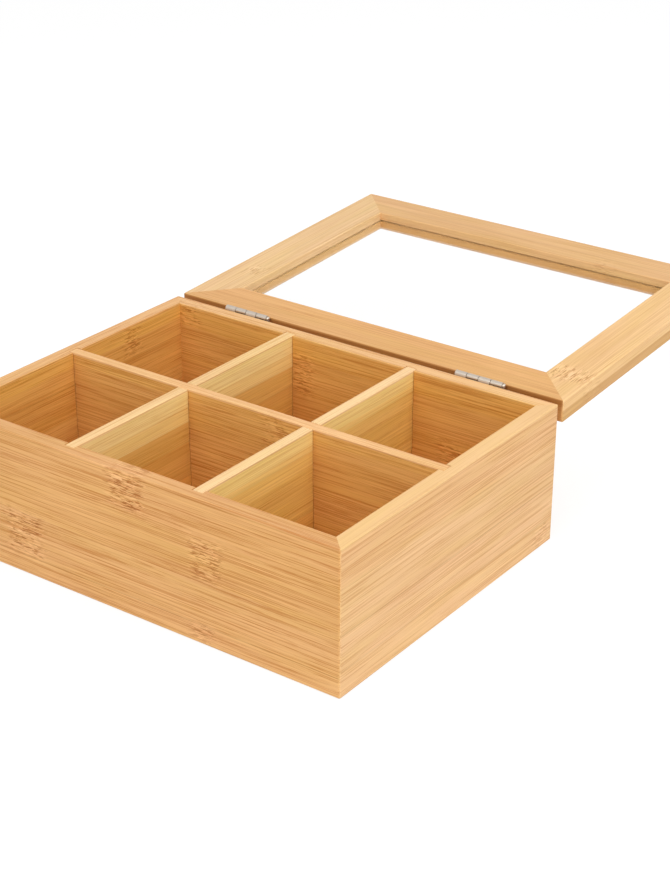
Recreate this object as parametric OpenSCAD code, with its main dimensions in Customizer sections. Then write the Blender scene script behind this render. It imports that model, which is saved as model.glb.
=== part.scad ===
// Tea bag organizer box: a mitred bamboo box with six compartments, and a glazed lid on two butt hinges.
// The origin is the centre of the box's underside. X runs to the right, Y to the hinges and Z up.
// The lid is drawn shut and then swung back to the angle it stands open at.

/* [Box] */
// Outside width of the box
box_w = 240; // [200:1:300]
// Outside depth of the box, front to back
box_d = 180; // [150:1:220]
// Height of the box without its lid
box_h = 74; // [60:1:100]
// Thickness of the four walls
wall_t = 8.4; // [7.5:0.1:10]
// Radius of the upright outside corners
corner_r = 1.2; // [0.6:0.1:2]
// Radius of the outside top edges
top_edge_r = 0.8; // [0.5:0.1:2]
// Radius of the outside bottom edges
bottom_edge_r = 0.8; // [0.4:0.1:1.5]

/* [Bottom panel] */
// Thickness of the bottom panel
base_t = 4.8; // [3.5:0.1:6]
// Width of the rebate in the walls that the bottom panel sits in
rebate_w = 4.2; // [3:0.1:5]
// Gap left all round the bottom panel, which glue fills
base_gap = 0.15; // [0.05:0.05:0.4]

/* [Dividers] */
// Thickness of the dividers
divider_t = 5.8; // [4.5:0.1:8]
// Depth of the grooves that the dividers' ends stand in
groove_depth = 3; // [2:0.1:3.5]
// Clearance between a divider and each side of a groove or lap
divider_gap = 0.1; // [0.05:0.05:0.3]
// Distance from the top down to where the lapped dividers meet
lap_drop = 34; // [20:1:45]

/* [Lid frame] */
// Thickness of the lid frame
lid_t = 12; // [10:0.1:14]
// Width of the lid frame's rails and stiles
frame_w = 23.5; // [18:0.5:32]
// Radius of the edges round the pane
inner_edge_r = 0.8; // [0.3:0.1:1.2]
// Gap between the shut lid and the top of the box
shut_gap = 0.4; // [0.3:0.1:0.8]
// Angle that the lid stands open at
open_angle = 177.1; // [90:0.1:178]

/* [Pane] */
// Thickness of the pane
pane_t = 2; // [1.5:0.1:2.5]
// Depth of the pane below the face of the lid that lies on the box
pane_inset = 4.7; // [4:0.1:6]
// Depth of the groove in the lid frame that holds the pane
pane_groove = 4; // [3:0.1:6]
// Distance from the pane's edge to the bottom of its groove
pane_end_gap = 0.5; // [0.3:0.1:0.8]
// Clearance on each face of the pane
pane_face_gap = 0.1; // [0.05:0.05:0.2]

/* [Hinges] */
// Distance from each side of the box to the near end of its hinge
hinge_inset = 32.7; // [20:0.1:60]
// Length of a hinge's barrel
hinge_len = 27.6; // [24:0.1:34]
// Distance from the back of the box to the hinge pin's axis
pin_offset = 2.1; // [2:0.05:2.4]
// Outside diameter of the barrel
barrel_d = 3.2; // [3:0.1:3.6]
// Diameter of the hinge pin
pin_d = 1.6; // [1.2:0.1:1.8]
// Diameter of the head on the pin's right end
pin_head_d = 2.4; // [2:0.1:2.8]
// Length of that head
pin_head_len = 1.2; // [0.8:0.1:1.6]
// Thickness of a hinge leaf
leaf_t = 0.8; // [0.6:0.05:0.9]
// Height of a hinge leaf, from the pin's axis to its far edge
leaf_h = 8.6; // [8:0.1:9.2]
// Radius of a leaf's far corners
leaf_corner_r = 1.2; // [0.5:0.1:1.6]
// Gap between neighbouring knuckles, and between a knuckle and the leaf that it turns past
knuckle_gap = 0.3; // [0.2:0.05:0.4]
// Clearance round the pin where the lid's knuckles turn on it
pin_turn_gap = 0.06; // [0.02:0.01:0.1]
// Clearance round the pin where it is held in the box's knuckles
pin_held_gap = 0.02; // [0.01:0.01:0.04]

/* [Screws] */
// Distance between the two screws in a leaf
screw_spread = 16; // [14:0.5:18]
// Distance from the pin's axis to the line of the screws
screw_drop = 5.4; // [4.8:0.1:5.8]
// Diameter of a screw's shank
screw_d = 1.8; // [1.4:0.1:2]
// Length of a screw under its head, with its point
screw_len = 6.6; // [5:0.1:7]
// Length of a screw's point
screw_point = 1.6; // [1:0.1:2]
// Diameter of a screw's head
screw_head_d = 3.6; // [3:0.1:4]
// Height of a screw's head
screw_head_t = 1.1; // [0.8:0.05:1.15]
// Width of the cross in a screw's head
cross_w = 0.5; // [0.3:0.05:0.6]
// Depth of the cross in a screw's head
cross_depth = 0.6; // [0.3:0.05:0.7]
// Clearance round a screw in its leaf
screw_leaf_gap = 0.15; // [0.05:0.05:0.25]
// Clearance round a screw in the bamboo
screw_wood_gap = 0.03; // [0.01:0.01:0.05]

/* [Hidden] */
$fn = 48;
// A cut runs this far past the face that it opens
over = 1;

inner_w = box_w - 2 * wall_t;
inner_d = box_d - 2 * wall_t;
// The six compartments are alike, so the dividers share the inside evenly
cell_w = (inner_w - 2 * divider_t) / 3;
short_x = cell_w / 2 + divider_t / 2;
divider_h = box_h - base_t;
lap_z = box_h - lap_drop;

lid_z = box_h + shut_gap;
pane_w = box_w - 2 * frame_w + 2 * (pane_groove - pane_end_gap);
pane_d = box_d - 2 * frame_w + 2 * (pane_groove - pane_end_gap);
pane_z = lid_z + pane_inset;

// The pin's axis lies halfway between the box's top and the shut lid, behind the back wall
pin_y = box_d / 2 + pin_offset;
pin_z = box_h + shut_gap / 2;
knuckles = 4;
knuckle_pitch = hinge_len / knuckles;
leaf_x = box_w / 2 - hinge_inset - hinge_len / 2;

bamboo_front = [0.87, 0.66, 0.42];
bamboo_side = [0.91, 0.72, 0.47];
bamboo_divider = [0.89, 0.71, 0.44];
bamboo_lid = [0.9, 0.72, 0.5];
steel = [0.74, 0.74, 0.73];
screw_steel = [0.68, 0.68, 0.67];
clear_pane = [0.86, 0.93, 0.91, 0.35];

// A board lies along X with its outer face at y = 0, its inner face at y = width and its foot at z = 0.

// What an edge at y = 0, z = 0 loses when it is rounded, with the board on its +Y, +Z side
module edge_cut(length, radius) {
    rotate([90, 0, 90])
        linear_extrude(length + 2 * over, center = true)
            difference() {
                translate([-over, -over])
                    square(radius + over);
                translate([radius, radius])
                    circle(radius);
            }
}

// The plan of a board with mitred ends, whose outer corners are rounded
module mitred_plan(length, width) {
    intersection() {
        polygon([[-length / 2, 0], [length / 2, 0], [length / 2 - width, width], [width - length / 2, width]]);
        union() {
            translate([corner_r - length / 2, 0])
                square([length - 2 * corner_r, width]);
            for (side = [-1, 1])
                translate([side * (length / 2 - corner_r), corner_r])
                    circle(corner_r);
            translate([-length / 2, corner_r])
                square([length, width]);
        }
    }
}

// A board with mitred ends and rounded outer edges, below and above
module mitred_board(length, width, height, low_r, high_r) {
    difference() {
        linear_extrude(height)
            mitred_plan(length, width);
        edge_cut(length, low_r);
        translate([0, 0, height])
            mirror([0, 0, 1])
                edge_cut(length, high_r);
    }
}

// Puts a board that was drawn along X on one side of the box: 0 front, 1 right, 2 back, 3 left
module on_side(side) {
    reach = side % 2 == 0 ? box_d / 2 : box_w / 2;
    rotate([0, 0, 90 * side])
        translate([0, -reach, 0])
            children();
}

// A box wall, with the rebate for the bottom panel
module wall(length) {
    difference() {
        mitred_board(length, wall_t, box_h, bottom_edge_r, top_edge_r);
        translate([-length / 2, wall_t - rebate_w, -over])
            cube([length, rebate_w + over, base_t + over]);
    }
}

// A groove for a divider's end in a wall's inner face, open at the top
module divider_groove(x) {
    translate([x - divider_t / 2 - divider_gap, wall_t - groove_depth, base_t - over])
        cube([divider_t + 2 * divider_gap, groove_depth + over, divider_h + 2 * over]);
}

module grooved_wall(length, places) {
    difference() {
        wall(length);
        for (x = places)
            divider_groove(x);
    }
}

// Moves what was drawn on the shut lid to where the open lid holds it
module swung_open() {
    translate([0, pin_y, pin_z])
        rotate([-open_angle, 0, 0])
            translate([0, -pin_y, -pin_z])
                children();
}

// A rail or stile of the lid, with the groove for the pane, drawn at the shut lid's height
module lid_member(length) {
    translate([0, 0, lid_z])
        difference() {
            mitred_board(length, frame_w, lid_t, top_edge_r, top_edge_r);
            for (top = [0, 1])
                translate([0, frame_w, top * lid_t])
                    mirror([0, 1, 0])
                        mirror([0, 0, top])
                            edge_cut(length, inner_edge_r);
            translate([-length / 2, frame_w - pane_groove, pane_inset - pane_face_gap])
                cube([length, pane_groove + over, pane_t + 2 * pane_face_gap]);
        }
}

// Places for the two hinges: -1 is the left one and 1 the right one
module at_hinge(side) {
    translate([side * leaf_x, pin_y, pin_z])
        children();
}

// The two places of a leaf's screws, at the wood's face, with +Z of each screw pointing out of it.
// up is 1 for the lid's leaf, which lies above the pin while the lid is shut, and -1 for the box's.
module at_screws(up) {
    for (end = [-1, 1])
        translate([end * screw_spread / 2, -pin_offset, up * screw_drop])
            rotate([-90, 0, 0])
                children();
}

// Pilot holes in the bamboo for one leaf's screws
module pilot_holes(up) {
    at_screws(up)
        translate([0, 0, leaf_t - screw_len - over / 2])
            cylinder(h = screw_len + over, r = screw_d / 2 + screw_wood_gap);
}

// One screw: a round head over the leaf, a shank and a point
module screw() {
    difference() {
        union() {
            translate([0, 0, leaf_t])
                cylinder(h = screw_head_t / 2, d = screw_head_d);
            translate([0, 0, leaf_t + screw_head_t / 2])
                cylinder(h = screw_head_t / 2, d1 = screw_head_d, d2 = 0.7 * screw_head_d);
            translate([0, 0, leaf_t - screw_len + screw_point])
                cylinder(h = screw_len - screw_point, d = screw_d);
            translate([0, 0, leaf_t - screw_len])
                cylinder(h = screw_point, d1 = 0.2 * screw_d, d2 = screw_d);
        }
        for (turn = [0, 90])
            rotate([0, 0, turn])
                translate([-screw_head_d / 3, -cross_w / 2, leaf_t + screw_head_t - cross_depth])
                    cube([2 * screw_head_d / 3, cross_w, cross_depth + over]);
    }
}

// The plate of a leaf in its own plane: its far corners are rounded and it has a hole for each screw
module leaf_plate(up) {
    far = leaf_h - leaf_corner_r;
    translate([0, -pin_offset, 0])
        rotate([90, 0, 0])
            mirror([0, 0, 1])
                linear_extrude(leaf_t)
                    difference() {
                        union() {
                            translate([-hinge_len / 2, min(0, up * far)])
                                square([hinge_len, far]);
                            translate([leaf_corner_r - hinge_len / 2, min(0, up * leaf_h)])
                                square([hinge_len - 2 * leaf_corner_r, leaf_h]);
                            for (end = [-1, 1])
                                translate([end * (hinge_len / 2 - leaf_corner_r), up * far])
                                    circle(leaf_corner_r);
                        }
                        for (end = [-1, 1])
                            translate([end * screw_spread / 2, up * screw_drop])
                                circle(screw_d / 2 + screw_leaf_gap);
                    }
}

// A leaf with its knuckles. first is 0 or 1: which knuckle from the left belongs to it
module hinge_leaf(up, first, hole_r) {
    clear_r = barrel_d / 2 + knuckle_gap;
    knuckle_len = knuckle_pitch - knuckle_gap;
    difference() {
        union() {
            leaf_plate(up);
            for (i = [first:2:knuckles - 1])
                translate([(i + 0.5) * knuckle_pitch - hinge_len / 2, 0, 0])
                    rotate([0, 90, 0])
                        cylinder(h = knuckle_len, d = barrel_d, center = true);
        }
        // The other leaf's knuckles turn past this one
        for (i = [1 - first:2:knuckles - 1])
            translate([i * knuckle_pitch - hinge_len / 2 - knuckle_gap / 2, -clear_r - over, -clear_r])
                cube([knuckle_pitch + knuckle_gap, 2 * clear_r + over, 2 * clear_r]);
        rotate([0, 90, 0])
            cylinder(h = hinge_len + 2 * over, r = hole_r, center = true);
    }
}

module hinge_pin() {
    rotate([0, 90, 0]) {
        cylinder(h = hinge_len, d = pin_d, center = true);
        translate([0, 0, hinge_len / 2])
            cylinder(h = pin_head_len / 2, d = pin_head_d);
        translate([0, 0, hinge_len / 2 + pin_head_len / 2])
            cylinder(h = pin_head_len / 2, d1 = pin_head_d, d2 = 0.6 * pin_head_d);
    }
}

module front_wall() {
    color(bamboo_front)
        on_side(0)
            grooved_wall(box_w, [-short_x, short_x]);
}

module back_wall() {
    color(bamboo_front)
        difference() {
            on_side(2)
                grooved_wall(box_w, [-short_x, short_x]);
            for (side = [-1, 1])
                at_hinge(side)
                    pilot_holes(-1);
        }
}

module left_wall() {
    color(bamboo_side)
        on_side(3)
            grooved_wall(box_d, [0]);
}

module right_wall() {
    color(bamboo_side)
        on_side(1)
            grooved_wall(box_d, [0]);
}

module bottom_panel() {
    panel_w = inner_w + 2 * rebate_w - 2 * base_gap;
    panel_d = inner_d + 2 * rebate_w - 2 * base_gap;
    color(bamboo_front)
        translate([-panel_w / 2, -panel_d / 2, 0])
            cube([panel_w, panel_d, base_t]);
}

// A divider that runs along X, with its ends in the walls' grooves
module divider(span) {
    length = span + 2 * (groove_depth - divider_gap);
    translate([-length / 2, -divider_t / 2, base_t])
        cube([length, divider_t, divider_h]);
}

// The long divider is notched from below, where it bridges the short ones
module long_divider() {
    notch_w = divider_t + 2 * divider_gap;
    color(bamboo_divider)
        difference() {
            divider(inner_w);
            for (side = [-1, 1])
                translate([side * short_x - notch_w / 2, -divider_t / 2 - over, base_t - over])
                    cube([notch_w, divider_t + 2 * over, lap_z - base_t + over]);
        }
}

// A short divider is notched from above, under the long one
module short_divider(x) {
    notch_w = divider_t + 2 * divider_gap;
    color(bamboo_divider)
        translate([x, 0, 0])
            rotate([0, 0, 90])
                difference() {
                    divider(inner_d);
                    translate([-notch_w / 2, -divider_t / 2 - over, lap_z])
                        cube([notch_w, divider_t + 2 * over, lap_drop + over]);
                }
}

module short_divider_left() {
    short_divider(-short_x);
}

module short_divider_right() {
    short_divider(short_x);
}

module lid_front_rail() {
    color(bamboo_lid)
        swung_open()
            on_side(0)
                lid_member(box_w);
}

module lid_back_rail() {
    color(bamboo_lid)
        swung_open()
            difference() {
                on_side(2)
                    lid_member(box_w);
                for (side = [-1, 1])
                    at_hinge(side)
                        pilot_holes(1);
            }
}

module lid_left_stile() {
    color(bamboo_lid)
        swung_open()
            on_side(3)
                lid_member(box_d);
}

module lid_right_stile() {
    color(bamboo_lid)
        swung_open()
            on_side(1)
                lid_member(box_d);
}

module glass_pane() {
    color(clear_pane)
        swung_open()
            translate([-pane_w / 2, -pane_d / 2, pane_z])
                cube([pane_w, pane_d, pane_t]);
}

module box_leaf(side) {
    color(steel)
        at_hinge(side)
            hinge_leaf(-1, 0, pin_d / 2 + pin_held_gap);
}

module lid_leaf(side) {
    color(steel)
        swung_open()
            at_hinge(side)
                hinge_leaf(1, 1, pin_d / 2 + pin_turn_gap);
}

module left_hinge_box_leaf() {
    box_leaf(-1);
}

module right_hinge_box_leaf() {
    box_leaf(1);
}

module left_hinge_lid_leaf() {
    lid_leaf(-1);
}

module right_hinge_lid_leaf() {
    lid_leaf(1);
}

module left_hinge_pin() {
    color(steel)
        at_hinge(-1)
            hinge_pin();
}

module right_hinge_pin() {
    color(steel)
        at_hinge(1)
            hinge_pin();
}

module box_screws(side) {
    color(screw_steel)
        at_hinge(side)
            at_screws(-1)
                screw();
}

module lid_screws(side) {
    color(screw_steel)
        swung_open()
            at_hinge(side)
                at_screws(1)
                    screw();
}

module left_hinge_box_screws() {
    box_screws(-1);
}

module right_hinge_box_screws() {
    box_screws(1);
}

module left_hinge_lid_screws() {
    lid_screws(-1);
}

module right_hinge_lid_screws() {
    lid_screws(1);
}

front_wall();
back_wall();
left_wall();
right_wall();
bottom_panel();
long_divider();
short_divider_left();
short_divider_right();
lid_front_rail();
lid_back_rail();
lid_left_stile();
lid_right_stile();
glass_pane();
left_hinge_box_leaf();
right_hinge_box_leaf();
left_hinge_lid_leaf();
right_hinge_lid_leaf();
left_hinge_pin();
right_hinge_pin();
left_hinge_box_screws();
right_hinge_box_screws();
left_hinge_lid_screws();
right_hinge_lid_screws();
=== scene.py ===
# %% [markdown]
# # A bamboo tea bag box with a glass lid
#
# The box has four mitred walls, a bottom panel and three lapped dividers that make six compartments.
# Its lid is a glazed frame on two small steel hinges, and it stands open, as in the reference picture.
#
# The exact solids come from a CAD model, which is loaded first. This lesson then models each seen
# piece again with soft edges, and gives it a finish made of nodes. Each piece stays in its CAD place.

# %% Load the CAD model
from math import pi, radians

import bpy
from mathutils import Matrix, Vector


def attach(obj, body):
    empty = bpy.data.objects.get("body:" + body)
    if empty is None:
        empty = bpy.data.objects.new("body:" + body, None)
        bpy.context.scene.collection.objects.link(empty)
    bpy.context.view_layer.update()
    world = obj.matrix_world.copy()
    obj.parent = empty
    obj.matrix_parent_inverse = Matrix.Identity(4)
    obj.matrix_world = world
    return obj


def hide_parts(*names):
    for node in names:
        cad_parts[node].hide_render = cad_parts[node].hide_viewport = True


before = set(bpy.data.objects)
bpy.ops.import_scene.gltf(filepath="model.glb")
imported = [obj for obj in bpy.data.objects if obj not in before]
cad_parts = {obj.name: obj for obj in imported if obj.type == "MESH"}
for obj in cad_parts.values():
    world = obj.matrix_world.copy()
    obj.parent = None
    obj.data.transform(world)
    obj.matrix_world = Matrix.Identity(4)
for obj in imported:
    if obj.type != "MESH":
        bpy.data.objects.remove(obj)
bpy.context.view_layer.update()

# %% [markdown]
# ## The camera
#
# A camera can be found by trial, or solved from points that are known both in the picture and on the
# object. These numbers were solved: with them the corners of the box and the lid fall on the same
# places of the picture's frame. A long lens from about a metre away keeps the edges nearly parallel.

# %% Camera
camera_place = Vector((0.53058, -0.66154, 0.46445))
camera_right = Vector((0.809002, 0.587793, 0.003717))
camera_aim = Vector((-0.527157, 0.728315, -0.437794))
camera_up = camera_right.cross(camera_aim)
camera_turn = Matrix((camera_right, camera_up, -camera_aim)).transposed()
bpy.ops.object.select_all(action="DESELECT")
bpy.ops.object.camera_add(location=camera_place, rotation=camera_turn.to_euler())
camera = bpy.context.object
camera.data.lens = 77.992
camera.data.sensor_width = 36
bpy.context.scene.camera = camera
print("camera at", [round(value, 3) for value in camera_place], "lens", round(camera.data.lens, 2), "mm")

# %% [markdown]
# ## Helpers for materials
#
# A material can be wired by hand in the shader editor. In a script the same wires are shorter to write
# with a few helpers: one adds a node and fills its inputs, one does arithmetic, and one mixes colours.
# Colours are written as they look on a screen, from 0 to 255, and turned into Blender's linear values.

# %% Node helpers
def add(tree, kind, inputs=None, **settings):
    """Adds a node. Each input gets a plain value, or a wire from another node's output."""
    made = tree.nodes.new("ShaderNode" + kind)
    for name, value in settings.items():
        setattr(made, name, value)
    for name, value in (inputs or {}).items():
        if isinstance(value, bpy.types.NodeSocket):
            tree.links.new(value, made.inputs[name])
        else:
            made.inputs[name].default_value = value
    return made


def math(tree, operation, first, second=0.0):
    return add(tree, "Math", {0: first, 1: second}, operation=operation).outputs[0]


def mix(tree, amount, first, second, blend="MIX"):
    return add(tree, "Mix", {0: amount, 6: first, 7: second}, data_type="RGBA", blend_type=blend).outputs[2]


def fade(tree, value, low, high, start=0.0, end=1.0):
    """Rises smoothly from start to end while the value goes from low to high."""
    inputs = {"Value": value, "From Min": low, "From Max": high, "To Min": start, "To Max": end}
    return add(tree, "MapRange", inputs, interpolation_type="SMOOTHSTEP").outputs[0]


def colour(red, green, blue):
    linear = [((part / 255 + 0.055) / 1.055) ** 2.4 for part in (red, green, blue)]
    return (*linear, 1.0)


def new_material(name):
    material = bpy.data.materials.new(name)
    material.use_nodes = True
    return material, material.node_tree, material.node_tree.nodes["Principled BSDF"]


# %% [markdown]
# ## Floor and light
#
# The picture is a studio shot on white. The floor is a plain diffuse surface for the light that
# bounces off it, but what the camera sees of it directly, or in glass and metal, is mostly emission
# close to white. A part of it stays diffuse there too, so the object still lays its soft shadow on it.
# The world does the same: it lights at a plain level and is seen as white.

# %% Floor and world
def seen_directly(tree):
    """1 for rays that the camera, a mirror or a glass looks along, and 0 for light that bounces."""
    path = add(tree, "LightPath").outputs
    seen = math(tree, "MAXIMUM", path["Is Camera Ray"], path["Is Glossy Ray"])
    return math(tree, "MAXIMUM", seen, path["Is Transmission Ray"])


floor_drop = 0.0002
floor_glow = 0.76
world_light = 0.61

bpy.ops.object.select_all(action="DESELECT")
bpy.ops.mesh.primitive_plane_add(size=12, location=(0, 0, -floor_drop))
floor = bpy.context.object
floor.name = "floor"
floor_finish, tree, plain_shader = new_material("white_paper")
tree.nodes.remove(plain_shader)
bounced = add(tree, "BsdfDiffuse", {"Color": (0.8, 0.8, 0.8, 1)}).outputs[0]
shadowed = add(tree, "BsdfDiffuse", {"Color": (0.3, 0.3, 0.3, 1)}).outputs[0]
glow = add(tree, "Emission", {"Color": (1, 1, 1, 1), "Strength": floor_glow}).outputs[0]
seen = add(tree, "AddShader", {0: shadowed, 1: glow}).outputs[0]
both = add(tree, "MixShader", {0: seen_directly(tree), 1: bounced, 2: seen}).outputs[0]
tree.links.new(both, tree.nodes["Material Output"].inputs["Surface"])
floor.data.materials.append(floor_finish)

world = bpy.data.worlds.new("studio")
bpy.context.scene.world = world
world.use_nodes = True
tree = world.node_tree
tree.nodes.clear()
lit = add(tree, "Background", {"Color": (1, 1, 1, 1), "Strength": world_light}).outputs[0]
white = add(tree, "Background", {"Color": (1, 1, 1, 1), "Strength": 1.0}).outputs[0]
both = add(tree, "MixShader", {0: seen_directly(tree), 1: lit, 2: white}).outputs[0]
tree.links.new(both, add(tree, "OutputWorld").inputs["Surface"])
print("floor at", round(floor.location.z, 4), "m, world lights at", world_light)

# %% [markdown]
# ## Lamps
#
# The tops are the brightest, the front is a little brighter than the right side, and nothing has a
# hard shadow, so the picture was lit by large soft boxes from above. One wide area lamp over the
# front and one to the right do that. They are weak, because the world already gives most of the light.

# %% Soft boxes
lamp_aim = Vector((0, 0.05, 0.04))


def soft_box(name, place, size, power):
    place = Vector(place)
    bpy.ops.object.select_all(action="DESELECT")
    aim = (lamp_aim - place).to_track_quat("-Z", "Y").to_euler()
    bpy.ops.object.light_add(type="AREA", location=place, rotation=aim)
    lamp = bpy.context.object
    lamp.name = name
    lamp.data.size = size
    lamp.data.energy = power
    print(name, "at", [round(value, 2) for value in place], "power", power)


soft_box("front_soft_box", (0.1, -1.5, 1.5), 1.4, 14.5)
soft_box("right_soft_box", (1.5, -0.2, 1.5), 1.2, 17.5)

# %% [markdown]
# ## Bamboo, step by step
#
# Bamboo board is glued from split canes. Each strip has its own tone, fine fibres run along it, and
# every hand's breadth a cane had a knuckle, which shows as a patch of short dark dashes beside a
# ridge. A photo texture could show this, but here it is drawn by nodes, so no seam or repeat shows.
#
# First each board gets its own millimetre space: along the grain, through the board, and across it
# from its outer or lower edge. A Mapping node turns the object's metres into that space. Boards of
# the lid are turned back to where the shut lid holds them, so their grain still follows them.

# %% A board's own space
pin_y = 92.1
pin_z = 74.2
open_angle = 177.1
hinge_axis = Vector((0, pin_y, pin_z))


def board_space(tree, along, across, corner, on_lid):
    along = Vector(along)
    across = Vector(across)
    turn = Matrix((along, across.cross(along), across))
    shift = -(turn @ Vector(corner))
    if on_lid:
        shut = Matrix.Rotation(radians(open_angle), 3, "X")
        shift = shift + turn @ (hinge_axis - shut @ hinge_axis)
        turn = turn @ shut
    inputs = {"Vector": add(tree, "TexCoord").outputs["Object"], "Location": shift,
              "Rotation": turn.to_euler("XYZ"), "Scale": (1000, 1000, 1000)}
    return add(tree, "Mapping", inputs).outputs[0]


def long_noise(tree, space, stretch, seed, detail=3.0, roughness=0.55):
    """Noise with this many spots to the millimetre along, through and across the board."""
    pulled = add(tree, "VectorMath", {0: space, 1: stretch}, operation="MULTIPLY").outputs[0]
    inputs = {"Vector": pulled, "W": seed, "Scale": 1.0, "Detail": detail, "Roughness": roughness}
    return add(tree, "TexNoise", inputs, noise_dimensions="4D").outputs[0]


# %% [markdown]
# The strips are a colour ramp with hard steps over the board's width: one step for each strip, and a
# thin darker step between two strips for the glue. Each strip is written as the place where it starts,
# in millimetres, and its tone. The ramp spans 200 mm, so a place becomes a share of that. A little
# noise on the input keeps the glue line from being ruler straight.

# %% Strips
ramp_span = 200
glue_line = 0.3
glue_shade = 0.93
glue_waver = 0.8


def darker(tone, share):
    return (tone[0] * share, tone[1] * share, tone[2] * share, 1.0)


def strip_tones(tree, space, across, strips, seed):
    waver = math(tree, "MULTIPLY", long_noise(tree, space, (0.02, 0.02, 0.02), seed), glue_waver)
    share = math(tree, "DIVIDE", math(tree, "ADD", across, waver), ramp_span)
    ramp = add(tree, "ValToRGB", {0: share})
    steps = ramp.color_ramp
    steps.interpolation = "CONSTANT"
    steps.elements.remove(steps.elements[1])
    steps.elements[0].color = colour(*strips[0][1])
    for edge, tone in strips[1:]:
        steps.elements.new(edge / ramp_span).color = darker(colour(*tone), glue_shade)
        steps.elements.new((edge + glue_line) / ramp_span).color = colour(*tone)
    return ramp.outputs[0]


# %% [markdown]
# The grain is noise pulled long: many spots across the board and few along it. Where each layer is
# cut decides its look: a wide fade gives soft bands, and a narrow one gives crisp lines. Bands, lines
# and the short dashes of single fibre bundles are added up, and a slow layer lets them gather in some
# places and thin out in others. The finest layer gives dark hairlines at its high end and pale ones at
# its low end, and these lie all over.

# %% Bands, lines, dashes and hairlines
def grain_lines(tree, space, seed, streaks, hairs):
    """How much of dark and of pale lines each point has."""
    gather = long_noise(tree, space, (0.006, 0.08, 0.08), seed + 1.3, 2.0)
    gather = fade(tree, gather, 0.42, 0.60, 0.30, 1.0)
    bands = long_noise(tree, space, (0.008, 0.30, 0.30), seed + 2.1, 3.0, 0.6)
    bands = fade(tree, bands, 0.44, 0.70, 0.0, 0.22)
    lines = long_noise(tree, space, (0.010, 1.05, 1.05), seed + 2.9, 3.0, 0.80)
    lines = fade(tree, lines, 0.55, 0.58, 0.0, 0.95)
    dashes = long_noise(tree, space, (0.060, 1.3, 1.3), seed + 4.9, 2.0)
    dashes = fade(tree, dashes, 0.58, 0.63, 0.0, 0.5)
    total = math(tree, "ADD", math(tree, "ADD", bands, lines), dashes)
    total = math(tree, "MULTIPLY", math(tree, "MULTIPLY", total, gather), streaks)
    finest = long_noise(tree, space, (0.018, 2.1, 2.1), seed + 3.7, 2.0)
    hairlines = math(tree, "MULTIPLY", fade(tree, finest, 0.52, 0.58), hairs)
    dark = math(tree, "MINIMUM", math(tree, "ADD", total, hairlines), 1.0)
    pale = fade(tree, finest, 0.37, 0.43, 1.0, 0.0)
    return dark, pale


# %% [markdown]
# A knuckle crosses one strip. Its outline is a box in the board's space whose ends are ragged, since
# each fibre stops at its own place. Inside it are short dark dashes, a little bent, and pale patches,
# and past its middle a faint crooked ridge crosses the grain. Each knuckle is written as its place
# along and across the board, its half length and half height in millimetres, and its strength.

# %% Knuckles
ragged_by = 22.0
crooked_by = 12.0
ridge_share = 0.45


def distance(tree, value, place):
    return math(tree, "ABSOLUTE", math(tree, "SUBTRACT", value, place))


def knuckle_parts(tree, space, places, seed):
    """How much of dark dashes and of pale patches each point has, from all the board's knuckles."""
    ragged = long_noise(tree, space, (0.03, 0.9, 0.9), seed + 6.1, 2.0)
    ragged = math(tree, "MULTIPLY", math(tree, "SUBTRACT", ragged, 0.5), ragged_by)
    crooked = long_noise(tree, space, (0.0, 0.25, 0.25), seed + 7.3, 3.0)
    crooked = math(tree, "MULTIPLY", math(tree, "SUBTRACT", crooked, 0.5), crooked_by)
    bent = add(tree, "VectorMath", {0: crooked, 1: (0.0, 0.0, 0.35)}, operation="MULTIPLY").outputs[0]
    bent = add(tree, "VectorMath", {0: space, 1: bent}).outputs[0]
    dashes = fade(tree, long_noise(tree, bent, (0.19, 1.5, 1.6), seed + 8.7, 2.0, 0.55), 0.51, 0.58)
    patches = fade(tree, long_noise(tree, bent, (0.15, 1.1, 1.2), seed + 9.9, 2.0), 0.44, 0.54)
    parts = add(tree, "SeparateXYZ", {0: space}).outputs
    dark = None
    pale = None
    for along, across, half_long, half_high, strength in places:
        reach = distance(tree, math(tree, "ADD", parts[0], ragged), along)
        reach = math(tree, "DIVIDE", reach, half_long)
        height = math(tree, "DIVIDE", distance(tree, parts[2], across), half_high)
        inside = fade(tree, math(tree, "MAXIMUM", reach, height), 0.55, 1.15, strength, 0.0)
        ridge = distance(tree, math(tree, "ADD", parts[0], crooked), along + ridge_share * half_long)
        ridge = fade(tree, ridge, 0.1, 0.9, strength, 0.0)
        ridge = math(tree, "MULTIPLY", ridge, fade(tree, height, 0.7, 1.0, 0.4, 0.0))
        ridge = math(tree, "MULTIPLY", ridge, fade(tree, dashes, 0.0, 0.6, 0.4, 1.0))
        here = math(tree, "MAXIMUM", math(tree, "MULTIPLY", inside, dashes), ridge)
        light = math(tree, "MULTIPLY", inside, patches)
        dark = here if dark is None else math(tree, "MAXIMUM", dark, here)
        pale = light if pale is None else math(tree, "MAXIMUM", pale, light)
    return dark, pale
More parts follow.
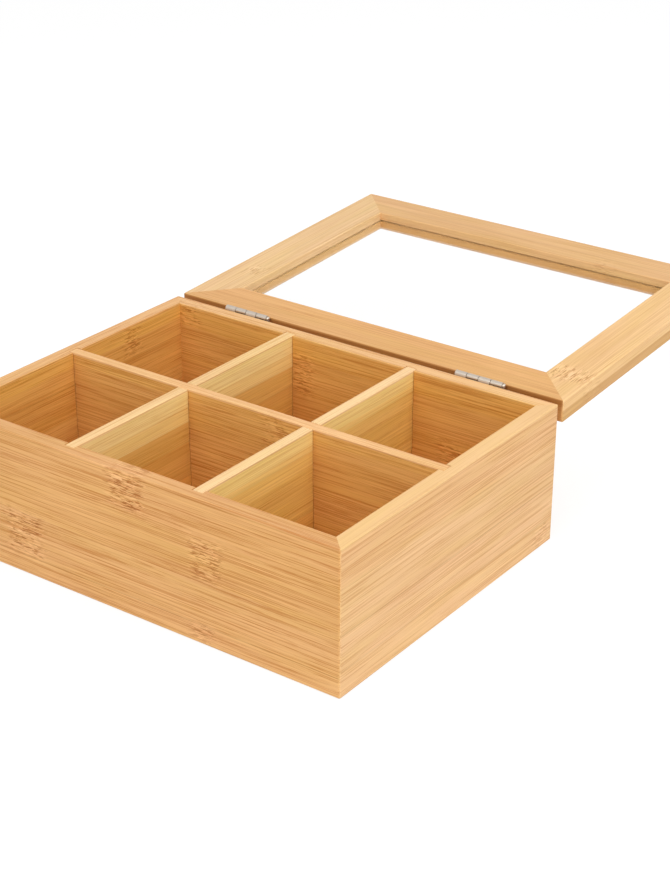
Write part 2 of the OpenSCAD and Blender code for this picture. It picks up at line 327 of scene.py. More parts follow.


# %% [markdown]
# Each effect is a tint that the strip's own tone is multiplied by, so one set of tints suits pale and
# dark boards alike. A value above 1 lightens.
#
# Some tints belong to a place. Rounded edges are a little paler: partly sanding wear, partly a painted
# highlight where the edges catch the lamps. The walls' inner faces are more orange: painted bounce light
# for the light that goes from board to board between them. The lid's boards are darker in the lower
# half of their sides as the lid lies open. Their inner sides below the glass get painted shade, and the
# rail at the hinges gets painted shade towards the gap between box and lid.

# %% Tints
streak_tint = (0.74, 0.57, 0.41, 1.0)
knuckle_tint = (0.58, 0.41, 0.26, 1.0)
pale_tint = (1.08, 1.10, 1.12, 1.0)
patch_tint = (1.17, 1.22, 1.38, 1.0)
wear_and_highlight_tint = (1.03, 1.06, 1.10, 1.0)
yellow_tint = (0.99, 1.015, 0.91, 1.0)
painted_bounce_tint = (1.0, 0.95, 0.66, 1.0)
side_and_shade_tint = (0.78, 0.70, 0.56, 1.0)
gap_shade_tint = (0.58, 0.46, 0.33, 1.0)
cloud_tint = (0.90, 0.86, 0.80, 1.0)


def tinted(tree, amount, tone, tint):
    return mix(tree, amount, tone, tint, "MULTIPLY")


# Paler rounded edges: partly sanding wear, partly a painted highlight where the edges face the lamps.
def worn_and_lit_edges(tree, space, seed):
    """1 on rounded edges, where the normal points along no axis, and 0 on flat faces."""
    facing = add(tree, "VectorMath", {0: add(tree, "TexCoord").outputs["Normal"]}, operation="ABSOLUTE")
    parts = add(tree, "SeparateXYZ", {0: facing.outputs[0]}).outputs
    largest_part = math(tree, "MAXIMUM", math(tree, "MAXIMUM", parts[0], parts[1]), parts[2])
    uneven = fade(tree, long_noise(tree, space, (0.05, 0.3, 0.3), seed + 12.3), 0.35, 0.6, 0.45, 1.0)
    return math(tree, "MULTIPLY", fade(tree, largest_part, 0.80, 0.985, 1.0, 0.0), uneven)


# %% [markdown]
# The faces with a tint of their own are found by their place in the board's space: the inner face of
# a wall by how far it lies through the board, and the two sides of a lid board by how far they lie
# across it. On a lid board, through counts up from the table while the lid is shut.

# %% Faces with their own tint
inner_face = 8.3
lid_inner_side = (22.6, 23.1)
lid_outer_side = (0.3, 0.7)
below_glass_when_open = (79.6, 80.0)
lid_upper_half = (80.2, 80.6, side_and_shade_tint)
# Painted shade on the hinge rail's outer side, darker towards the gap between box and lid.
gap_shade_on_rail = (81, 76, gap_shade_tint)


# Painted bounce light: the wall's inner face is made more orange, for light that goes from board to board.
def paint_bounce_on_wall(tree, tone, through):
    return tinted(tree, fade(tree, through, inner_face - 0.4, inner_face), tone, painted_bounce_tint)


def tint_lid(tree, tone, through, across, side):
    """side says where the outer side's tint starts and is full, and which tint it is."""
    start, end, tint = side
    outer = fade(tree, across, *lid_outer_side, 1.0, 0.0)
    outer = math(tree, "MULTIPLY", outer, fade(tree, through, start, end))
    tone = tinted(tree, outer, tone, tint)
    # Painted shade: the inner sides are darker on the half that lies below the glass while the lid is open.
    inner = math(tree, "MULTIPLY", fade(tree, through, *below_glass_when_open), fade(tree, across, *lid_inner_side))
    return tinted(tree, inner, tone, side_and_shade_tint)


# %% [markdown]
# The parts come together in one material for each board. The wood is satin: a middling roughness that
# is a little higher in the dark lines. A faint bump sinks the lines, because the soft tissue between
# the fibres wears away first. The boards' top edges are sanded smoother than their faces, so some of
# them show less grain.

# %% The bamboo material
top_edge = (73.2, 73.6)


def bamboo(name, strips, along, corner, seed, streaks, hairs, across=(0, 0, 1), knuckles=(), is_wall=False,
           lid_side=None, top_grain=1.0):
    """top_grain is the share of the grain that the top edge keeps. Lid boards give lid_side."""
    material, tree, shader = new_material(name)
    space = board_space(tree, along, across, corner, lid_side is not None)
    parts = add(tree, "SeparateXYZ", {0: space}).outputs
    tone = strip_tones(tree, space, parts[2], strips, seed)
    cloudy = long_noise(tree, space, (0.012, 0.05, 0.07), seed + 0.7, 2.0)
    tone = tinted(tree, fade(tree, cloudy, 0.3, 0.7, 0.0, 0.5), tone, cloud_tint)
    yellow = long_noise(tree, space, (0.015, 0.12, 0.12), seed + 11.1, 2.0)
    tone = tinted(tree, fade(tree, yellow, 0.35, 0.75), tone, yellow_tint)

    calm = fade(tree, parts[2], *top_edge, 1.0, top_grain)
    dark, pale = grain_lines(tree, space, seed, streaks, hairs)
    dark = math(tree, "MULTIPLY", dark, calm)
    pale = math(tree, "MULTIPLY", pale, calm)
    tone = tinted(tree, dark, tinted(tree, pale, tone, pale_tint), streak_tint)
    depth = dark
    if knuckles:
        dashes, patches = knuckle_parts(tree, space, knuckles, seed)
        tone = tinted(tree, dashes, tinted(tree, patches, tone, patch_tint), knuckle_tint)
        depth = math(tree, "MAXIMUM", dark, dashes)

    tone = tinted(tree, worn_and_lit_edges(tree, space, seed), tone, wear_and_highlight_tint)
    through = math(tree, "ABSOLUTE", parts[1])
    if is_wall:
        tone = paint_bounce_on_wall(tree, tone, through)
    if lid_side is not None:
        tone = tint_lid(tree, tone, through, parts[2], lid_side)
    tree.links.new(tone, shader.inputs["Base Color"])
    tree.links.new(fade(tree, depth, 0.0, 1.0, 0.46, 0.6), shader.inputs["Roughness"])
    shader.inputs["Specular IOR Level"].default_value = 0.22
    bump = add(tree, "Bump", {"Strength": 0.35, "Distance": 0.00008, "Height": depth}, invert=True)
    tree.links.new(bump.outputs[0], shader.inputs["Normal"])
    return material


# %% [markdown]
# ## Helpers for modelling
#
# The pieces are drawn in millimetres, as in the CAD model, because whole numbers are easier to read
# and the tools' small limits are then tiny against a board. Each finished piece is scaled to metres.
# An operator works on whatever is selected, so every helper first selects exactly its own piece.

# %% Selecting and cutting
def alone(piece):
    bpy.ops.object.select_all(action="DESELECT")
    piece.select_set(True)
    bpy.context.view_layer.objects.active = piece


def apply_place(piece):
    alone(piece)
    bpy.ops.object.transform_apply(location=True, rotation=True, scale=True)


def block(name, low, high):
    """A cuboid between two corners: the rough stock of a board, or a cutter."""
    low = Vector(low)
    high = Vector(high)
    bpy.ops.object.select_all(action="DESELECT")
    bpy.ops.mesh.primitive_cube_add(size=1, location=(low + high) / 2)
    piece = bpy.context.object
    piece.name = name
    piece.scale = high - low
    apply_place(piece)
    return piece


def pick(piece, kind, test):
    """Enters edit mode with just those edges or faces selected whose middle passes the test."""
    alone(piece)
    bpy.ops.object.mode_set(mode="EDIT")
    bpy.ops.mesh.select_mode(type=kind)
    bpy.ops.mesh.select_all(action="DESELECT")
    bpy.ops.object.mode_set(mode="OBJECT")
    mesh = piece.data
    if kind == "FACE":
        for face in mesh.polygons:
            face.select = test(face.center, face.normal)
        chosen = sum(face.select for face in mesh.polygons)
    else:
        for edge in mesh.edges:
            start, end = (mesh.vertices[index].co for index in edge.vertices)
            edge.select = test((start + end) / 2, (end - start).normalized())
        chosen = sum(edge.select for edge in mesh.edges)
    bpy.ops.object.mode_set(mode="EDIT")
    return chosen


def done_editing():
    bpy.ops.object.mode_set(mode="OBJECT")


def use_modifier(piece, kind, **settings):
    alone(piece)
    bpy.ops.object.modifier_add(type=kind)
    modifier = piece.modifiers[-1]
    for name, value in settings.items():
        setattr(modifier, name, value)
    bpy.ops.object.modifier_apply(modifier=modifier.name)


def delete(piece):
    alone(piece)
    bpy.ops.object.delete()


def cut_away(piece, cutter):
    use_modifier(piece, "BOOLEAN", operation="DIFFERENCE", solver="EXACT", object=cutter)
    delete(cutter)


# %% [markdown]
# Edges are rounded by a Bevel modifier that reads a weight on each edge, so that one pass can give
# each edge its own radius and blend them well at the corners. The weight is the wanted radius as a
# share of the largest one.

# %% Rounding edges
def mark_round(piece, radius, largest, test):
    chosen = pick(piece, "EDGE", test)
    bpy.ops.transform.edge_bevelweight(value=-1.0)
    bpy.ops.transform.edge_bevelweight(value=radius / largest)
    done_editing()
    return chosen


def round_marked(piece, largest, segments):
    use_modifier(piece, "BEVEL", limit_method="WEIGHT", offset_type="OFFSET", width=largest,
                 segments=segments)


# %% [markdown]
# A finished piece is brought to metres, shaded smooth across its rounded edges and flat across its
# faces, given its material, and tied to the body that it moves with. The CAD node it stands for is hidden.

# %% Finishing a piece
smooth_angle = 40


def finish_piece(piece, name, node, body, material):
    piece.name = name
    piece.data.name = name
    piece.scale = (0.001, 0.001, 0.001)
    apply_place(piece)
    bpy.ops.object.shade_smooth_by_angle(angle=radians(smooth_angle))
    use_modifier(piece, "WEIGHTED_NORMAL", keep_sharp=True)
    piece.data.materials.clear()
    piece.data.materials.append(material)
    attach(piece, body)
    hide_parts(node)
    size = [round(value * 1000, 1) for value in piece.dimensions]
    print(name, size, "mm,", len(piece.data.polygons), "faces")


# %% [markdown]
# Boards and hinges come in equal pairs, so one is modelled and the other is a copy, moved or turned.
# A linked copy would share one mesh, and then moving its mesh would move both, so each copy gets a
# mesh of its own.

# %% Copies
def copy_of(piece, place=(0, 0, 0), turn=0):
    """A copy with its own mesh, turned about the Z axis and moved to a place."""
    alone(piece)
    bpy.ops.object.duplicate(linked=False)
    copied = bpy.context.object
    copied.rotation_euler.z = turn
    copied.location = place
    apply_place(copied)
    return copied


# %% [markdown]
# ## The walls
#
# The four walls meet in mitres: each end is cut at 45 degrees, so no end grain shows. They could be
# modelled one by one, but then four corners would have to match. Here the whole ring is modelled as
# one, its edges are rounded, and it is then sawn into boards along the mitres, which match at once.

# %% Sizes of the box
box_w = 240
box_d = 180
box_h = 74
wall_t = 8.4
base_t = 4.8
rebate_w = 4.2
half_w = box_w / 2
half_d = box_d / 2

# %% [markdown]
# The ring starts as a block. Its top is inset by a wall's thickness. Its underside is inset less, and
# pushed up, which makes the rebate for the bottom panel; it is inset once more and the two inner
# faces are bridged, which opens the inside. Then the edges get their radii. Each test is given an
# edge's middle and its direction.

# %% A ring for the walls
ring = block("walls", (-half_w, -half_d, 0), (half_w, half_d, box_h))
pick(ring, "FACE", lambda middle, normal: normal.z > 0.9)
bpy.ops.mesh.inset(thickness=wall_t)
done_editing()
pick(ring, "FACE", lambda middle, normal: normal.z < -0.9)
bpy.ops.mesh.inset(thickness=wall_t - rebate_w)
bpy.ops.mesh.extrude_region_move(TRANSFORM_OT_translate={"value": (0, 0, base_t)})
bpy.ops.mesh.inset(thickness=rebate_w)
done_editing()
inner_pair = pick(ring, "FACE", lambda middle, normal: abs(normal.z) > 0.9 and middle.xy.length < 1)
bpy.ops.mesh.bridge_edge_loops()
done_editing()

edge_r = 0.8
corner_r = 1.2
inner_r = 0.4


def is_outer(middle):
    return abs(middle.x) > half_w - 0.01 or abs(middle.y) > half_d - 0.01


def is_inner(middle):
    return not is_outer(middle) and (abs(middle.x) < 1 or abs(middle.y) < 1)


marked = [
    mark_round(ring, edge_r, corner_r, lambda m, d: is_outer(m) and m.z > box_h - 0.01),
    mark_round(ring, edge_r, corner_r, lambda m, d: is_outer(m) and m.z < 0.01),
    mark_round(ring, corner_r, corner_r, lambda m, d: is_outer(m) and abs(d.z) > 0.9),
    mark_round(ring, inner_r, corner_r, lambda m, d: is_inner(m) and m.z > box_h - 0.01),
]
round_marked(ring, corner_r, 5)
print("ring from", inner_pair, "bridged faces, edges rounded:", marked)

# %% [markdown]
# Sawing is a bisect: a plane cuts the ring, one side is thrown away and the cut is closed with a
# face. Two planes leave one wall. The dividers' ends stand in grooves in the walls' inner faces, which
# a Boolean cuts, since the groove is open at the top. A groove is a quarter of a millimetre wider than
# the divider on each side, which leaves the thin dark line that the picture shows in each corner.

# %% Sawing and grooving
inner_w = box_w - 2 * wall_t
inner_d = box_d - 2 * wall_t
divider_t = 5.8
divider_gap = 0.1
groove_depth = 3
corner_line = 0.25
cut_past = 1
divider_x = (inner_w - 2 * divider_t) / 6 + divider_t / 2


def saw(piece, at, towards):
    """Cuts along a plane and throws away the side that the vector towards points to."""
    pick(piece, "FACE", lambda middle, normal: True)
    bpy.ops.mesh.bisect(plane_co=at, plane_no=towards, use_fill=True, clear_outer=True, threshold=0.0001)
    done_editing()


def saw_boards(ring):
    """Saws the front board and the left one out of a ring, along the mitres."""
    front = copy_of(ring)
    saw(front, (half_w, -half_d, 0), (1, 1, 0))
    saw(front, (-half_w, -half_d, 0), (-1, 1, 0))
    left = copy_of(ring)
    saw(left, (-half_w, -half_d, 0), (1, -1, 0))
    saw(left, (-half_w, half_d, 0), (1, 1, 0))
    delete(ring)
    return front, left


front, left = saw_boards(ring)
groove_half = divider_t / 2 + corner_line
groove_low = base_t - cut_past
groove_high = box_h + cut_past
for middle in (-divider_x, divider_x):
    low = (middle - groove_half, -half_d + wall_t - groove_depth, groove_low)
    cut_away(front, block("cutter", low, (middle + groove_half, -half_d + wall_t + cut_past, groove_high)))
low = (-half_w + wall_t - groove_depth, -groove_half, groove_low)
cut_away(left, block("cutter", low, (-half_w + wall_t + cut_past, groove_half, groove_high)))
print("dividers at x =", round(divider_x, 3), "and", round(-divider_x, 3))

# %% [markdown]
# The back wall is the front wall turned half round, and the right wall the left one. Each copy gets
# its own mesh, and each wall its own material: the strips, streaks and knuckles sit where the
# picture shows them, and where it shows none they are made up in the same manner.

# %% Four walls with their bamboo
back = copy_of(front, turn=pi)
right = copy_of(left, turn=pi)

front_bamboo = bamboo(
    "bamboo_front_wall",
    [(0, (238, 186, 126)), (10, (233, 180, 119)), (33, (231, 177, 112)), (55, (233, 178, 115)),
     (72.1, (222, 167, 102)), (72.9, (227, 172, 113))],
    along=(1, 0, 0), corner=(0, -half_d, 0), seed=3.0, streaks=0.72, hairs=0.7, is_wall=True,
    knuckles=[(0.5, 65, 12, 11, 1.0), (-66, 22, 13, 13, 0.9), (46, 44, 10, 12, 0.9), (44, 6, 8, 6, 0.6)])
back_bamboo = bamboo(
    "bamboo_back_wall",
    [(0, (232, 180, 122)), (21, (230, 176, 115)), (43, (232, 179, 119)), (62, (236, 184, 118)),
     (73.4, (244, 195, 138))],
    along=(1, 0, 0), corner=(0, half_d, 0), seed=17.0, streaks=0.8, hairs=0.6, is_wall=True,
    knuckles=[(-106, 68, 8, 7, 0.8), (-29, 54, 8, 13, 0.8), (64, 32, 9, 11, 0.8)])
left_bamboo = bamboo(
    "bamboo_left_wall",
    [(0, (236, 184, 126)), (17, (232, 180, 121)), (38, (228, 173, 109)), (56, (234, 180, 117)),
     (66, (240, 189, 118)), (73.4, (237, 185, 127))],
    along=(0, 1, 0), corner=(-half_w, 0, 0), seed=29.0, streaks=0.8, hairs=0.5, is_wall=True,
    knuckles=[(42, 65, 7, 9, 0.8), (-38, 27, 9, 10, 0.7)])
right_bamboo = bamboo(
    "bamboo_right_wall",
    [(0, (241, 196, 144)), (13, (240, 195, 144)), (31, (237, 192, 139)), (54, (236, 188, 134)),
     (73.4, (243, 199, 142))],
    along=(0, 1, 0), corner=(half_w, 0, 0), seed=41.0, streaks=0.2, hairs=0.6, is_wall=True,
    knuckles=[(80, 6, 9, 8, 0.5)], top_grain=0.35)

finish_piece(front, "front_board", "front_wall", "box", front_bamboo)
finish_piece(back, "back_board", "back_wall", "box", back_bamboo)
finish_piece(left, "left_board", "left_wall", "box", left_bamboo)
finish_piece(right, "right_board", "right_wall", "box", right_bamboo)

# %% [markdown]
# ## The bottom panel
#
# The panel lies in the rebate with a hair of room all round. A block with softened edges is enough,
# but its strips run the long way and its underside is seen when the box is lifted.

# %% Bottom panel
base_gap = 0.15
panel_r = 0.4
panel_w = inner_w / 2 + rebate_w - base_gap
panel_d = inner_d / 2 + rebate_w - base_gap
panel = block("panel", (-panel_w, -panel_d, 0), (panel_w, panel_d, base_t))
mark_round(panel, panel_r, panel_r, lambda m, d: m.z < 0.01 or abs(d.z) > 0.9)
round_marked(panel, panel_r, 3)
panel_bamboo = bamboo(
    "bamboo_bottom_panel",
    [(0, (236, 184, 126)), (25, (232, 178, 118)), (50, (238, 187, 130)), (75, (233, 180, 121)),
     (100, (237, 186, 128)), (125, (232, 179, 120)), (150, (236, 185, 127))],
    along=(1, 0, 0), across=(0, 1, 0), corner=(0, -half_d, 0), seed=53.0, streaks=0.6, hairs=0.3,
    knuckles=[(-40, 30, 9, 6, 0.7), (70, 66, 9, 6, 0.7)])
finish_piece(panel, "bottom_board", "bottom_panel", "box", panel_bamboo)

# %% [markdown]
# ## The dividers
#
# Two short dividers and a long one are halved into each other: the long one is notched from below
# and lies over the short ones, which are notched from above. Their ends stand in the walls' grooves.
# Each is a block that is notched by a Boolean, and only the edges of its top are softened.

# %% Dividers
lap_drop = 34
lap_z = box_h - lap_drop
divider_end = groove_depth - divider_gap
notch_half = divider_t / 2 + corner_line
divider_r = 0.55

long = block("long", (-inner_w / 2 - divider_end, -divider_t / 2, base_t),
             (inner_w / 2 + divider_end, divider_t / 2, box_h))
for middle in (-divider_x, divider_x):
    low = (middle - notch_half, -divider_t, 0)
    cut_away(long, block("cutter", low, (middle + notch_half, divider_t, lap_z)))
short = block("short", (-divider_t / 2, -inner_d / 2 - divider_end, base_t),
              (divider_t / 2, inner_d / 2 + divider_end, box_h))
low = (-divider_t, -notch_half, lap_z)
cut_away(short, block("cutter", low, (divider_t, notch_half, box_h + cut_past)))
for piece in (long, short):
    mark_round(piece, divider_r, divider_r, lambda m, d: m.z > box_h - 0.01)
    round_marked(piece, divider_r, 3)
short_left = copy_of(short, (-divider_x, 0, 0))
short_right = copy_of(short, (divider_x, 0, 0))
delete(short)

# The dividers' strips are their own tones made more orange than the walls, as painted bounce light.
long_bamboo = bamboo(
    "bamboo_long_divider",
    [(0, (228, 173, 100)), (22, (232, 178, 104)), (43, (230, 175, 101)), (61, (235, 182, 108)),
     (68, (240, 189, 110)), (73.4, (246, 196, 138))],
    along=(1, 0, 0), corner=(0, 0, 0), seed=67.0, streaks=0.85, hairs=0.65, top_grain=0.7,
    knuckles=[(19, 65, 8, 9, 0.8), (-84, 30, 8, 9, 0.6)])
# The short dividers' strips grow paler towards the top: painted light for the band below the top edge that
# the lamps reach.
left_short_bamboo = bamboo(
    "bamboo_left_divider",
    [(0, (234, 178, 94)), (27, (223, 168, 90)), (46, (230, 181, 101)), (56.8, (249, 214, 141)),
     (64.5, (255, 227, 158)), (73.4, (250, 210, 153))],
    along=(0, 1, 0), corner=(0, 0, 0), seed=79.0, streaks=0.4, hairs=0.35,
    knuckles=[(-52, 20, 8, 8, 0.4)])
right_short_bamboo = bamboo(
    "bamboo_right_divider",
    [(0, (234, 182, 98)), (31, (235, 190, 105)), (55, (243, 200, 117)), (63.2, (250, 213, 133)),
     (66, (255, 226, 148)), (73.4, (252, 213, 160))],
    along=(0, 1, 0), corner=(0, 0, 0), seed=83.0, streaks=0.45, hairs=0.35)

finish_piece(long, "long_board", "long_divider", "box", long_bamboo)
finish_piece(short_left, "left_short_board", "short_divider_left", "box",
             left_short_bamboo)
finish_piece(short_right, "right_short_board", "short_divider_right", "box",
             right_short_bamboo)

# %% [markdown]
# ## The lid
#
# The lid is a mitred frame like the walls, so it is made in the same way: a ring, rounded, then sawn.
# It is drawn shut, where every size is square to the axes. A Boolean with a flat block cuts the
# groove for the glass all round at once. Last, each board swings about the hinge axis to where the
# open lid lies.

# %% Sizes of the lid
lid_t = 12
frame_w = 23.5
shut_gap = 0.4
lid_z = box_h + shut_gap
pane_inset = 4.7
pane_t = 2
pane_groove = 4
groove_room = 0.25


def swing_open(piece):
    there = Matrix.Translation(hinge_axis)
    piece.matrix_world = there @ Matrix.Rotation(radians(-open_angle), 4, "X") @ there.inverted()
    apply_place(piece)


# %% A ring for the lid
lid = block("lid", (-half_w, -half_d, lid_z), (half_w, half_d, lid_z + lid_t))
pick(lid, "FACE", lambda middle, normal: abs(normal.z) > 0.9)
bpy.ops.mesh.inset(thickness=frame_w)
bpy.ops.mesh.bridge_edge_loops()
done_editing()
marked = [
    mark_round(lid, edge_r, corner_r, lambda m, d: is_outer(m) and abs(d.z) < 0.1),
    mark_round(lid, corner_r, corner_r, lambda m, d: is_outer(m) and abs(d.z) > 0.9),
    mark_round(lid, edge_r, corner_r, lambda m, d: is_inner(m) and abs(d.z) < 0.1),
]
round_marked(lid, corner_r, 5)
groove_x = half_w - frame_w + pane_groove
groove_y = half_d - frame_w + pane_groove
pane_z = lid_z + pane_inset
cut_away(lid, block("cutter", (-groove_x, -groove_y, pane_z - groove_room),
                    (groove_x, groove_y, pane_z + pane_t + groove_room)))
print("lid ring rounded:", marked, "groove from", pane_z - groove_room)

# %% Rails and stiles
rail, stile = saw_boards(lid)
back_rail = copy_of(rail, turn=pi)
right_stile = copy_of(stile, turn=pi)
for piece in (rail, back_rail, stile, right_stile):
    swing_open(piece)

rail_bamboo = bamboo(
    "bamboo_lid_front_rail", [(0, (232, 184, 130)), (13, (230, 182, 127))],
    along=(1, 0, 0), across=(0, 1, 0), corner=(0, -half_d, 0), seed=97.0, streaks=0.25, hairs=0.3,
    knuckles=[(56, 20, 8, 6, 0.35)], lid_side=lid_upper_half)
back_rail_bamboo = bamboo(
    "bamboo_lid_back_rail", [(0, (230, 177, 116)), (12, (232, 178, 117))],
    along=(1, 0, 0), across=(0, -1, 0), corner=(0, half_d, 0), seed=101.0, streaks=0.42, hairs=0.4,
    lid_side=gap_shade_on_rail)
stile_bamboo = bamboo(
    "bamboo_lid_left_stile", [(0, (240, 199, 148)), (14, (238, 197, 146))],
    along=(0, 1, 0), across=(1, 0, 0), corner=(-half_w, 0, 0), seed=113.0, streaks=0.2, hairs=0.3,
    knuckles=[(42, 14, 6, 7, 0.5)], lid_side=lid_upper_half)
right_stile_bamboo = bamboo(
    "bamboo_lid_right_stile", [(0, (243, 199, 143)), (12, (241, 196, 139))],
    along=(0, 1, 0), across=(-1, 0, 0), corner=(half_w, 0, 0), seed=127.0, streaks=0.22, hairs=0.3,
    knuckles=[(62, 12, 8, 13, 0.8)], lid_side=lid_upper_half)

finish_piece(rail, "far_rail", "lid_front_rail", "lid", rail_bamboo)
finish_piece(back_rail, "hinge_rail", "lid_back_rail", "lid", back_rail_bamboo)
finish_piece(stile, "left_stile", "lid_left_stile", "lid", stile_bamboo)
finish_piece(right_stile, "right_stile", "lid_right_stile", "lid", right_stile_bamboo)

# %% [markdown]
# ## The glass
#
# A thin sheet of float glass with ground edges lies loose in its groove. It is a solid slab, so that
# light bends as it goes in and out. A glass slab casts a dark shadow in a path tracer that skips
# caustics, so rays that only ask for shadow pass straight through it.

# %% Pane
pane_end_gap = 0.5
pane_r = 0.3
pane_x = groove_x - pane_end_gap
pane_y = groove_y - pane_end_gap
pane = block("pane", (-pane_x, -pane_y, pane_z), (pane_x, pane_y, pane_z + pane_t))
mark_round(pane, pane_r, pane_r, lambda m, d: True)
round_marked(pane, pane_r, 2)
swing_open(pane)

glass, tree, shader = new_material("clear_glass")
shader.inputs["Base Color"].default_value = (0.99, 1.0, 0.995, 1)
shader.inputs["Transmission Weight"].default_value = 1.0
shader.inputs["IOR"].default_value = 1.5
smears = add(tree, "TexNoise", {"Vector": add(tree, "TexCoord").outputs["Object"], "Scale": 30.0})
tree.links.new(fade(tree, smears.outputs[0], 0.4, 0.8, 0.0, 0.015), shader.inputs["Roughness"])
clear = add(tree, "BsdfTransparent", {"Color": (0.96, 0.98, 0.97, 1)}).outputs[0]
only_shadow = add(tree, "LightPath").outputs["Is Shadow Ray"]
both = add(tree, "MixShader", {0: only_shadow, 1: shader.outputs[0], 2: clear}).outputs[0]
tree.links.new(both, tree.nodes["Material Output"].inputs["Surface"])
finish_piece(pane, "clear_sheet", "glass_pane", "lid", glass)

# %% [markdown]
# ## The hinges
#
# Each hinge is two stamped leaves on a pin. A leaf is one strip of steel whose tabs are rolled round
# the pin to make its knuckles. So it is modelled in that way: the plate's top edge is divided, the
# tabs are extruded up and forward, and their ends are spun about the pin. The seam where the roll
# stops short of the plate is left open, as on a real one.
#
# The hinge is drawn at the origin with its pin along X, and then copied to its two places. Its zinc
# plating is dull and cloudy, and rubbed in fine lines along the strip that it was stamped from.

# %% Plated steel
def steel(name, tone, roughness):
    material, tree, shader = new_material(name)
    place = add(tree, "Mapping", {"Vector": add(tree, "TexCoord").outputs["Object"],
                                  "Scale": (1000, 1000, 1000)}).outputs[0]
    cloud = fade(tree, long_noise(tree, place, (0.35, 0.35, 0.35), 5.0), 0.3, 0.7)
    rub = fade(tree, long_noise(tree, place, (0.5, 6.0, 6.0), 9.0), 0.35, 0.75)
    worn = math(tree, "MAXIMUM", math(tree, "MULTIPLY", cloud, 0.5), math(tree, "MULTIPLY", rub, 0.7))
    tree.links.new(mix(tree, worn, colour(*tone), darker(colour(*tone), 0.78)), shader.inputs["Base Color"])
    tree.links.new(fade(tree, worn, 0.0, 1.0, roughness, roughness + 0.2), shader.inputs["Roughness"])
    shader.inputs["Metallic"].default_value = 1.0
    bump = add(tree, "Bump", {"Strength": 0.3, "Distance": 0.00003, "Height": rub})
    tree.links.new(bump.outputs[0], shader.inputs["Normal"])
    return material


# The steel's warm tone is partly the plating's own colour and partly a painted reflection of the bamboo
# around it.
steels = {"hinge_steel": steel("plated_steel", (206, 194, 180), 0.34),
          "screw_steel": steel("screw_steel", (200, 190, 176), 0.38)}

# %% Sizes of a hinge
hinge_len = 27.6
hinge_inset = 32.7
pin_offset = 2.1
pin_r = 0.8
pin_head_r = 1.2
barrel_r = 1.6
bore_r = 0.84
leaf_t = 0.8
leaf_h = 8.6
leaf_corner_r = 1.2
knuckle_count = 4
knuckle_gap = 0.3
pitch = hinge_len / knuckle_count
screw_spread = 16
screw_drop = 5.4
screw_hole_r = 1.05
steel_edge_r = 0.1
roll_start = -barrel_r - knuckle_gap
roll_turn = 300
roll_steps = 18
leaf_x = half_w - hinge_inset - hinge_len / 2

# %% [markdown]
# The plate is a thin block. Bisects with nothing cleared divide its top edge at both sides of each
# knuckle. Only the tabs of this leaf are picked, extruded to the height of the pin, and spun. The
# roll goes most of the way round. Spinning can leave faces inside out, so the normals are made
# consistent afterwards.

# %% A leaf
def leaf(name, first):
    """A leaf that hangs below the pin. first is the first of its knuckles, from the left."""
    low = (-hinge_len / 2, -pin_offset, -leaf_h)
    plate = block(name, low, (hinge_len / 2, leaf_t - pin_offset, roll_start))
    for i in range(knuckle_count):
        for side in (knuckle_gap / 2, pitch - knuckle_gap / 2):
            pick(plate, "FACE", lambda middle, normal: True)
            bpy.ops.mesh.bisect(plane_co=(i * pitch - hinge_len / 2 + side, 0, 0), plane_no=(1, 0, 0))
            done_editing()
    tabs = [(i + 0.5) * pitch - hinge_len / 2 for i in range(first, knuckle_count, 2)]

    def is_tab(middle, normal):
        return normal.z > 0.9 and min(abs(middle.x - tab) for tab in tabs) < 1

    picked = pick(plate, "FACE", is_tab)
    rise = (0, pin_offset - barrel_r, -roll_start)
    bpy.ops.mesh.extrude_region_move(TRANSFORM_OT_translate={"value": rise})
    bpy.ops.transform.resize(value=(1, (barrel_r - bore_r) / leaf_t, 1), center_override=(0, -barrel_r, 0))
    bpy.ops.mesh.spin(steps=roll_steps, angle=radians(roll_turn), center=(0, 0, 0), axis=(1, 0, 0))
    bpy.ops.mesh.select_all(action="SELECT")
    bpy.ops.mesh.remove_doubles(threshold=0.001)
    bpy.ops.mesh.normals_make_consistent(inside=False)
    done_editing()
    print(name, "tabs", picked, "at", [round(tab, 2) for tab in tabs])
    return plate


def finish_leaf(plate):
    """Rounds the far corners, drills the screw holes and breaks the sharp edges."""
    mark_round(plate, leaf_corner_r, leaf_corner_r,
               lambda m, d: m.z < 0.01 - leaf_h and abs(d.y) > 0.9)
    round_marked(plate, leaf_corner_r, 5)
    for end in (-1, 1):
        place = (end * screw_spread / 2, -pin_offset, -screw_drop)
        bpy.ops.mesh.primitive_cylinder_add(vertices=32, radius=screw_hole_r, depth=4, location=place,
                                            rotation=(pi / 2, 0, 0))
        cut_away(plate, bpy.context.object)
    use_modifier(plate, "BEVEL", limit_method="ANGLE", angle_limit=radians(50), width=steel_edge_r,
                 segments=2)
    return plate


box_leaf = finish_leaf(leaf("box_leaf", 0))
lid_leaf = finish_leaf(leaf("lid_leaf", 1))
lid_leaf.scale.z = -1
apply_place(lid_leaf)
pick(lid_leaf, "FACE", lambda middle, normal: True)
bpy.ops.mesh.normals_make_consistent(inside=False)
done_editing()

# %% [markdown]
# Pins and screws are round, so both are turned: a disc is extruded upwards step by step, and after
# each step it is scaled to that height's radius, as a lathe would leave it. The screw's cross is cut
# by two thin blocks.

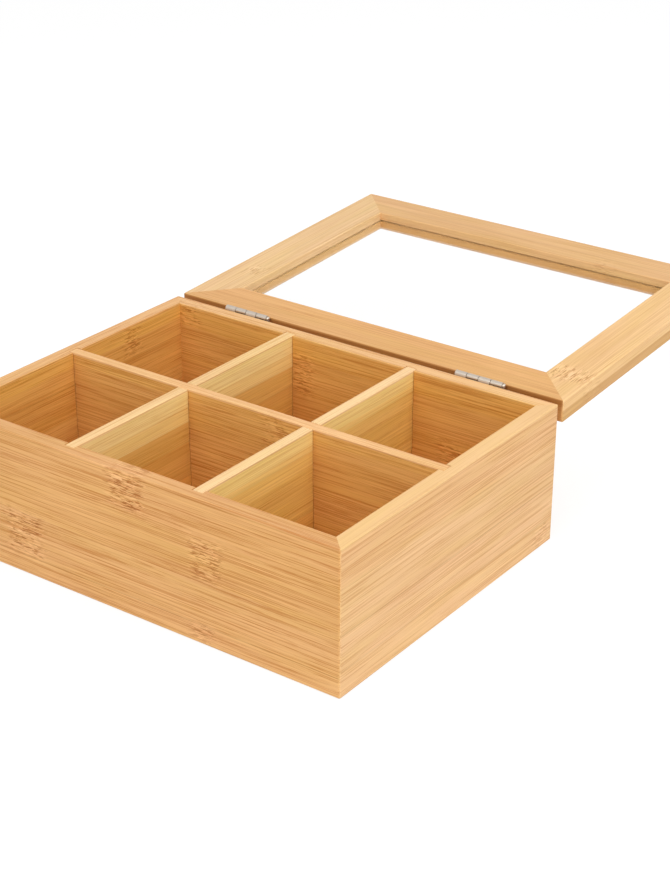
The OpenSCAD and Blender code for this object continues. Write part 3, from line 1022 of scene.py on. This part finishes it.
# %% Turned pieces
def turned(name, steps):
    """A round piece along Z through steps of (height, radius)."""
    height, radius = steps[0]
    bpy.ops.object.select_all(action="DESELECT")
    bpy.ops.mesh.primitive_circle_add(vertices=32, radius=radius, fill_type="NGON",
                                      location=(0, 0, height))
    piece = bpy.context.object
    piece.name = name
    apply_place(piece)
    pick(piece, "FACE", lambda middle, normal: True)
    for next_height, next_radius in steps[1:]:
        rise = (0, 0, next_height - height)
        bpy.ops.mesh.extrude_region_move(TRANSFORM_OT_translate={"value": rise})
        grow = next_radius / radius
        bpy.ops.transform.resize(value=(grow, grow, 1), center_override=(0, 0, next_height))
        height = next_height
        radius = next_radius
    bpy.ops.mesh.select_all(action="SELECT")
    bpy.ops.mesh.normals_make_consistent(inside=False)
    done_editing()
    return piece


pin_end = hinge_len / 2
pin = turned("pin", [(-pin_end, 0.62), (0.18 - pin_end, pin_r), (pin_end, pin_r), (pin_end, pin_head_r),
                     (pin_end + 0.6, pin_head_r), (pin_end + 0.85, 1.12), (pin_end + 1.05, 0.9),
                     (pin_end + 1.2, 0.5)])
pin.rotation_euler.y = pi / 2
apply_place(pin)

screw_r = 0.9
screw_head_r = 1.8
screw_steps = [(-5.8, 0.18), (-4.2, screw_r), (leaf_t, screw_r), (leaf_t, screw_head_r),
               (1.25, screw_head_r), (1.5, 1.7), (1.7, 1.48), (1.84, 1.12), (1.9, 0.6)]
cross_half = 0.25
cross_reach = 1.3
cross_floor = 1.25


def screw(twist):
    """A screw at the origin with its head towards +Y and its cross turned by some degrees."""
    piece = turned("screw", screw_steps)
    for x, y in ((cross_reach, cross_half), (cross_half, cross_reach)):
        cut_away(piece, block("cutter", (-x, -y, cross_floor), (x, y, 3)))
    piece.rotation_euler.z = radians(twist)
    apply_place(piece)
    piece.rotation_euler.x = -pi / 2
    apply_place(piece)
    return piece


def screw_pair(side, up, twists):
    """Two screws joined as one piece, in the box's leaf (up = -1) or the shut lid's (up = 1)."""
    pair = []
    for end, twist in zip((-1, 1), twists):
        piece = screw(twist)
        piece.location = (side * leaf_x + end * screw_spread / 2, pin_y - pin_offset, pin_z + up * screw_drop)
        apply_place(piece)
        pair.append(piece)
    alone(pair[0])
    pair[1].select_set(True)
    bpy.ops.object.join()
    return pair[0]


# %% [markdown]
# Real screws stop where they bite, so each cross gets its own twist. What belongs to the lid is made
# with the lid shut, and swings open with it.

# %% Two hinges in place
def finish_hinge(side_name, side, box_twists, lid_twists):
    at_hinge = (side * leaf_x, pin_y, pin_z)
    box_side = copy_of(box_leaf, at_hinge)
    lid_side = copy_of(lid_leaf, at_hinge)
    rod = copy_of(pin, at_hinge)
    in_box = screw_pair(side, -1, box_twists)
    in_lid = screw_pair(side, 1, lid_twists)
    swing_open(lid_side)
    swing_open(in_lid)
    for piece, name, node, body, slot in (
            (box_side, "leaf_on_box", "box_leaf", "box", "hinge_steel"),
            (lid_side, "leaf_on_lid", "lid_leaf", "lid", "hinge_steel"),
            (rod, "rod", "pin", "box", "hinge_steel"),
            (in_box, "screws_in_box", "box_screws", "box", "screw_steel"),
            (in_lid, "screws_in_lid", "lid_screws", "lid", "screw_steel")):
        finish_piece(piece, side_name + "_" + name, side_name + "_hinge_" + node, body, steels[slot])


finish_hinge("left", -1, (18, 66), (41, 8))
finish_hinge("right", 1, (77, 30), (12, 55))
for pattern in (box_leaf, lid_leaf, pin):
    delete(pattern)

# %% [markdown]
# ## View settings
#
# The plain Standard transform shows each colour as it is written.

bpy.context.scene.view_settings.view_transform = "Standard"
